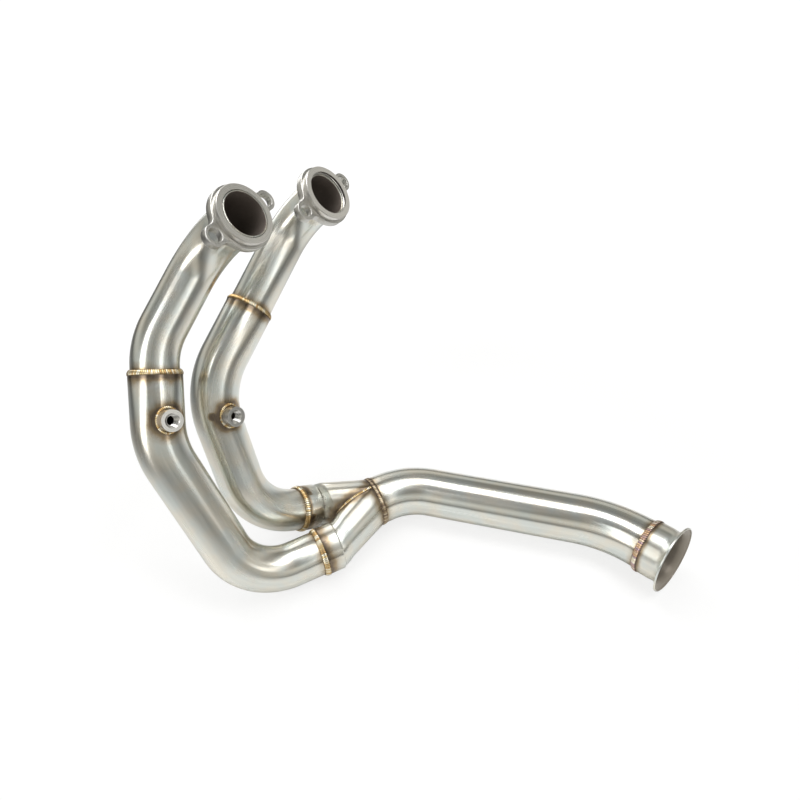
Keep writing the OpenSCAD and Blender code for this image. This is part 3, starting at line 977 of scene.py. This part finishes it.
weld_places = {
    "left_upper_tube": [lengths["left_upper_tube"] - slip],
    "right_upper_tube": [lengths["right_upper_tube"] - slip],
    "left_lower_tube": [0.0, lengths["left_lower_tube"] - sleeve_depth],
    "right_lower_tube": [0.0, lengths["right_lower_tube"] - sleeve_depth],
    "tail_pipe": [0.0, lengths["tail_pipe"] - flare_depth],
}
boss_foot, boss_heat_r, boss_fading = 3.75 * mm, 12 * mm, 1.0
heat_spot, spot_r, spot_fading = at(-208.7, -78.5, 190.0), 3 * mm, 3.0
for name, tube in tubes.items():
    heated = []
    if name in holes:
        foot = mount_place(holes[name]) - mount_way(holes[name]) * boss_foot
        heated.append((foot, boss_heat_r, boss_fading))
    if name == "right_lower_tube":
        heated.append((heat_spot, spot_r, spot_fading))
    dress_piece(tube, tube_material("satin " + name.replace("_", " "), weld_places[name], heated))
for name, (half, length) in halves.items():
    seam = (outlet_middle, collector_side)
    dress_piece(half, tube_material("satin " + name.replace("_", " "), [0.0, length],
                                    planes=[seam], reach=15 * mm, dullness=1.15))
# The flare's inner face gets a lighter painted shade than the tubes' inner walls.
dress_piece(flare, tube_material("satin outlet flare", [0.0], reach=7 * mm,
                                 inner=(0.34, 0.30, 0.25, 1), dullness=1.5))
print("tubes dressed:", list(tubes), list(halves), flare.name)

# %% The frame's own pieces
def dress(node, material):
    """Gives one of the frame's own pieces a material in every slot."""
    obj = nodes[node]
    if not obj.material_slots:
        obj.data.materials.append(material)
    for slot in obj.material_slots:
        slot.material = material


# %% Turned collars, plates and bosses
def turned_material(name, middle, way, colour):
    material, tree, shader = metal(name)
    rings = use_group(tree, turned, Point=object_point(tree), Centre=middle, Axis=way)
    shader.inputs["Base Color"].default_value = colour
    tree.links.new(rings.outputs["Roughness"], shader.inputs["Roughness"])
    bump(tree, shader, rings.outputs["Height"], 0.01 * mm)
    return material


# The plates' steel is darker than the collars': painted shade behind the collars.
collar_steel, plate_steel_painted_shade = (0.80, 0.78, 0.74, 1), (0.58, 0.57, 0.54, 1)
boss_steel = (0.72, 0.71, 0.68, 1)
for side, mouth in mouths.items():
    port = side + "_sensor_port"
    dress_piece(collars[side],
                turned_material(side + " turned collar", mouth, mouth_way, collar_steel))
    dress_piece(plates[side], turned_material(side + " plate", mouth, mouth_way, plate_steel_painted_shade))
    boss_finish = turned_material(side + " turned boss", mount_place(port), mount_way(port),
                                  boss_steel)
    dress(side + "_sensor_boss", boss_finish)
    dress_piece(threads[side], boss_finish)
print("turned pieces dressed:", [side + " side" for side in mouths])

# %% Weld metal, with painted shade between the pools and the weld's golds on their crowns
def weld_material(name, dark, golds):
    """Painted shade low on each pool, and on its crown one of the golds, by the pool's own tone."""
    material, tree, shader = metal(name, roughness=0.24)
    pool = add(tree, "Attribute", attribute_name="pool").outputs["Vector"]
    parts = add(tree, "SeparateXYZ", i0=pool)
    crown = remap(tree, parts.outputs[0], 0.05, 0.8)
    tone = ramp(tree, parts.outputs[1], list(zip((0.1, 0.5, 0.9), golds)))
    tree.links.new(mix(tree, crown, (*dark, 1), tone), shader.inputs["Base Color"])
    return material


bronze, gold, cream = (0.58, 0.38, 0.17), (0.78, 0.60, 0.31), (0.92, 0.86, 0.70)
copper, plum = (0.76, 0.50, 0.30), (0.50, 0.36, 0.38)
dull_browns = ((0.22, 0.16, 0.11), (0.36, 0.27, 0.17), (0.55, 0.46, 0.33))
# The first colour of each weld metal is the painted shade low between its pools.
gold_weld = weld_material("gold weld metal", (0.16, 0.10, 0.05), (bronze, gold, cream))
copper_weld = weld_material("copper weld metal", (0.14, 0.09, 0.07), (plum, copper, cream))
dark_weld = weld_material("dark weld metal", (0.10, 0.07, 0.05), dull_browns)
finishes = {"flare": copper_weld, "collector": dark_weld}
for piece in weld_pieces:
    dress_piece(piece, finishes.get(piece.name.split("_")[0], gold_weld))
for side in both:
    dress(side + "_collar_weld", gold_weld)
print("materials:", len(bpy.data.materials))

# %% [markdown]
# ## The studio
# The object stands on a white sheet in a bright room. Camera rays see the sheet turn whiter with
# the distance from the object, so that it keeps the soft shadow but shows no horizon. The tubes
# see it turn greyer instead. Satin tubes show long bands of whatever is round them, so the room is
# light near the sheet and greyer overhead, with one long soft box above the camera.

# %% Sheet and room
bpy.ops.object.select_all(action="DESELECT")
bpy.ops.mesh.primitive_plane_add(size=60, location=(0, 0, -0.0005))
sheet = bpy.context.object
sheet.name = "studio_sheet"
sheet_finish = bpy.data.materials.new("white sheet")
sheet_finish.use_nodes = True
tree = sheet_finish.node_tree
tree.nodes.clear()
far = vectors(tree, "LENGTH", object_point(tree))
seen = tree.nodes.new("ShaderNodeLightPath").outputs["Is Camera Ray"]
whitening = remap(tree, far, 0.45, 1.0, 0.7, 1.0)
paper_tone = maths(tree, "MAXIMUM", remap(tree, far, 0.35, 0.75, 0.9, 0.3),
                   maths(tree, "MULTIPLY", seen, 0.85))
paper = add(tree, "BsdfDiffuse", i0=grey(tree, paper_tone))
glow = add(tree, "Emission", i0=(1, 1, 1, 1), i1=1.08)
blend = add(tree, "MixShader", i0=maths(tree, "MULTIPLY", seen, whitening), i1=paper.outputs[0],
            i2=glow.outputs[0])
add(tree, "OutputMaterial", i0=blend.outputs[0])
sheet.data.materials.append(sheet_finish)

room = bpy.data.worlds.new("studio room")
bpy.context.scene.world = room
room.use_nodes = True
tree = room.node_tree
tree.nodes.clear()
sky = tree.nodes.new("ShaderNodeTexCoord").outputs["Generated"]
height = add(tree, "SeparateXYZ", i0=sky).outputs[2]
wall_tones = [(0.0, (0.10, 0.10, 0.09)), (0.14, (0.50, 0.49, 0.45)), (0.38, (0.68, 0.67, 0.63)),
              (0.6, (0.20, 0.20, 0.18)), (0.82, (0.26, 0.26, 0.25)), (1.0, (0.40, 0.40, 0.40))]
walls = ramp(tree, height, wall_tones)
seen = tree.nodes.new("ShaderNodeLightPath").outputs["Is Camera Ray"]
background = add(tree, "Background", i0=mix(tree, seen, walls, (1, 1, 1, 1)), i1=1.0)
add(tree, "OutputWorld", i0=background.outputs[0])
print("sheet and room:", sheet.name, "and", room.name)

# %% Soft boxes
def soft_box(name, turn, climb, distance, wide, high, radiance, aim=Vector((-0.02, 0.0, 0.12))):
    """A rectangular lamp, at a distance from aim, whose face is as bright as radiance says."""
    data = bpy.data.lights.new(name, "AREA")
    data.shape, data.size, data.size_y = "RECTANGLE", wide, high
    data.energy = radiance * math.pi * wide * high
    lamp = bpy.data.objects.new(name, data)
    back = direction(turn, climb)
    lamp.location = aim + back * distance
    lamp.rotation_euler = turned_to(back)
    bpy.context.collection.objects.link(lamp)
    print(name, "at", [round(v, 2) for v in lamp.location], round(data.energy, 1), "W")


soft_box("overhead strip", 90, 84, 1.5, 2.6, 0.6, 3.6)
soft_box("strip left of the camera", -112, 30, 1.6, 0.5, 1.4, 3.0)
soft_box("strip right of the camera", -8, 34, 1.6, 0.4, 1.0, 1.5)
soft_box("rear card", 150, 25, 1.8, 0.7, 1.2, 1.8)

# %% Camera at the photograph's angle
lens_px, photo_px, sensor = 575.5, 800, 36.0
camera_data = bpy.data.cameras.new("camera")
camera_data.lens = sensor * lens_px / photo_px
camera_data.sensor_width = sensor
camera = bpy.data.objects.new("camera", camera_data)
camera.location = at(176.4, -390.8, 572.2)
camera_way = direction(118, -38.245)
camera.rotation_euler = camera_way.to_track_quat("-Z", "Y").to_euler()
bpy.context.collection.objects.link(camera)
bpy.context.scene.camera = camera
bpy.context.scene.view_settings.view_transform = "Standard"
print("lens", round(camera_data.lens, 2), "mm")
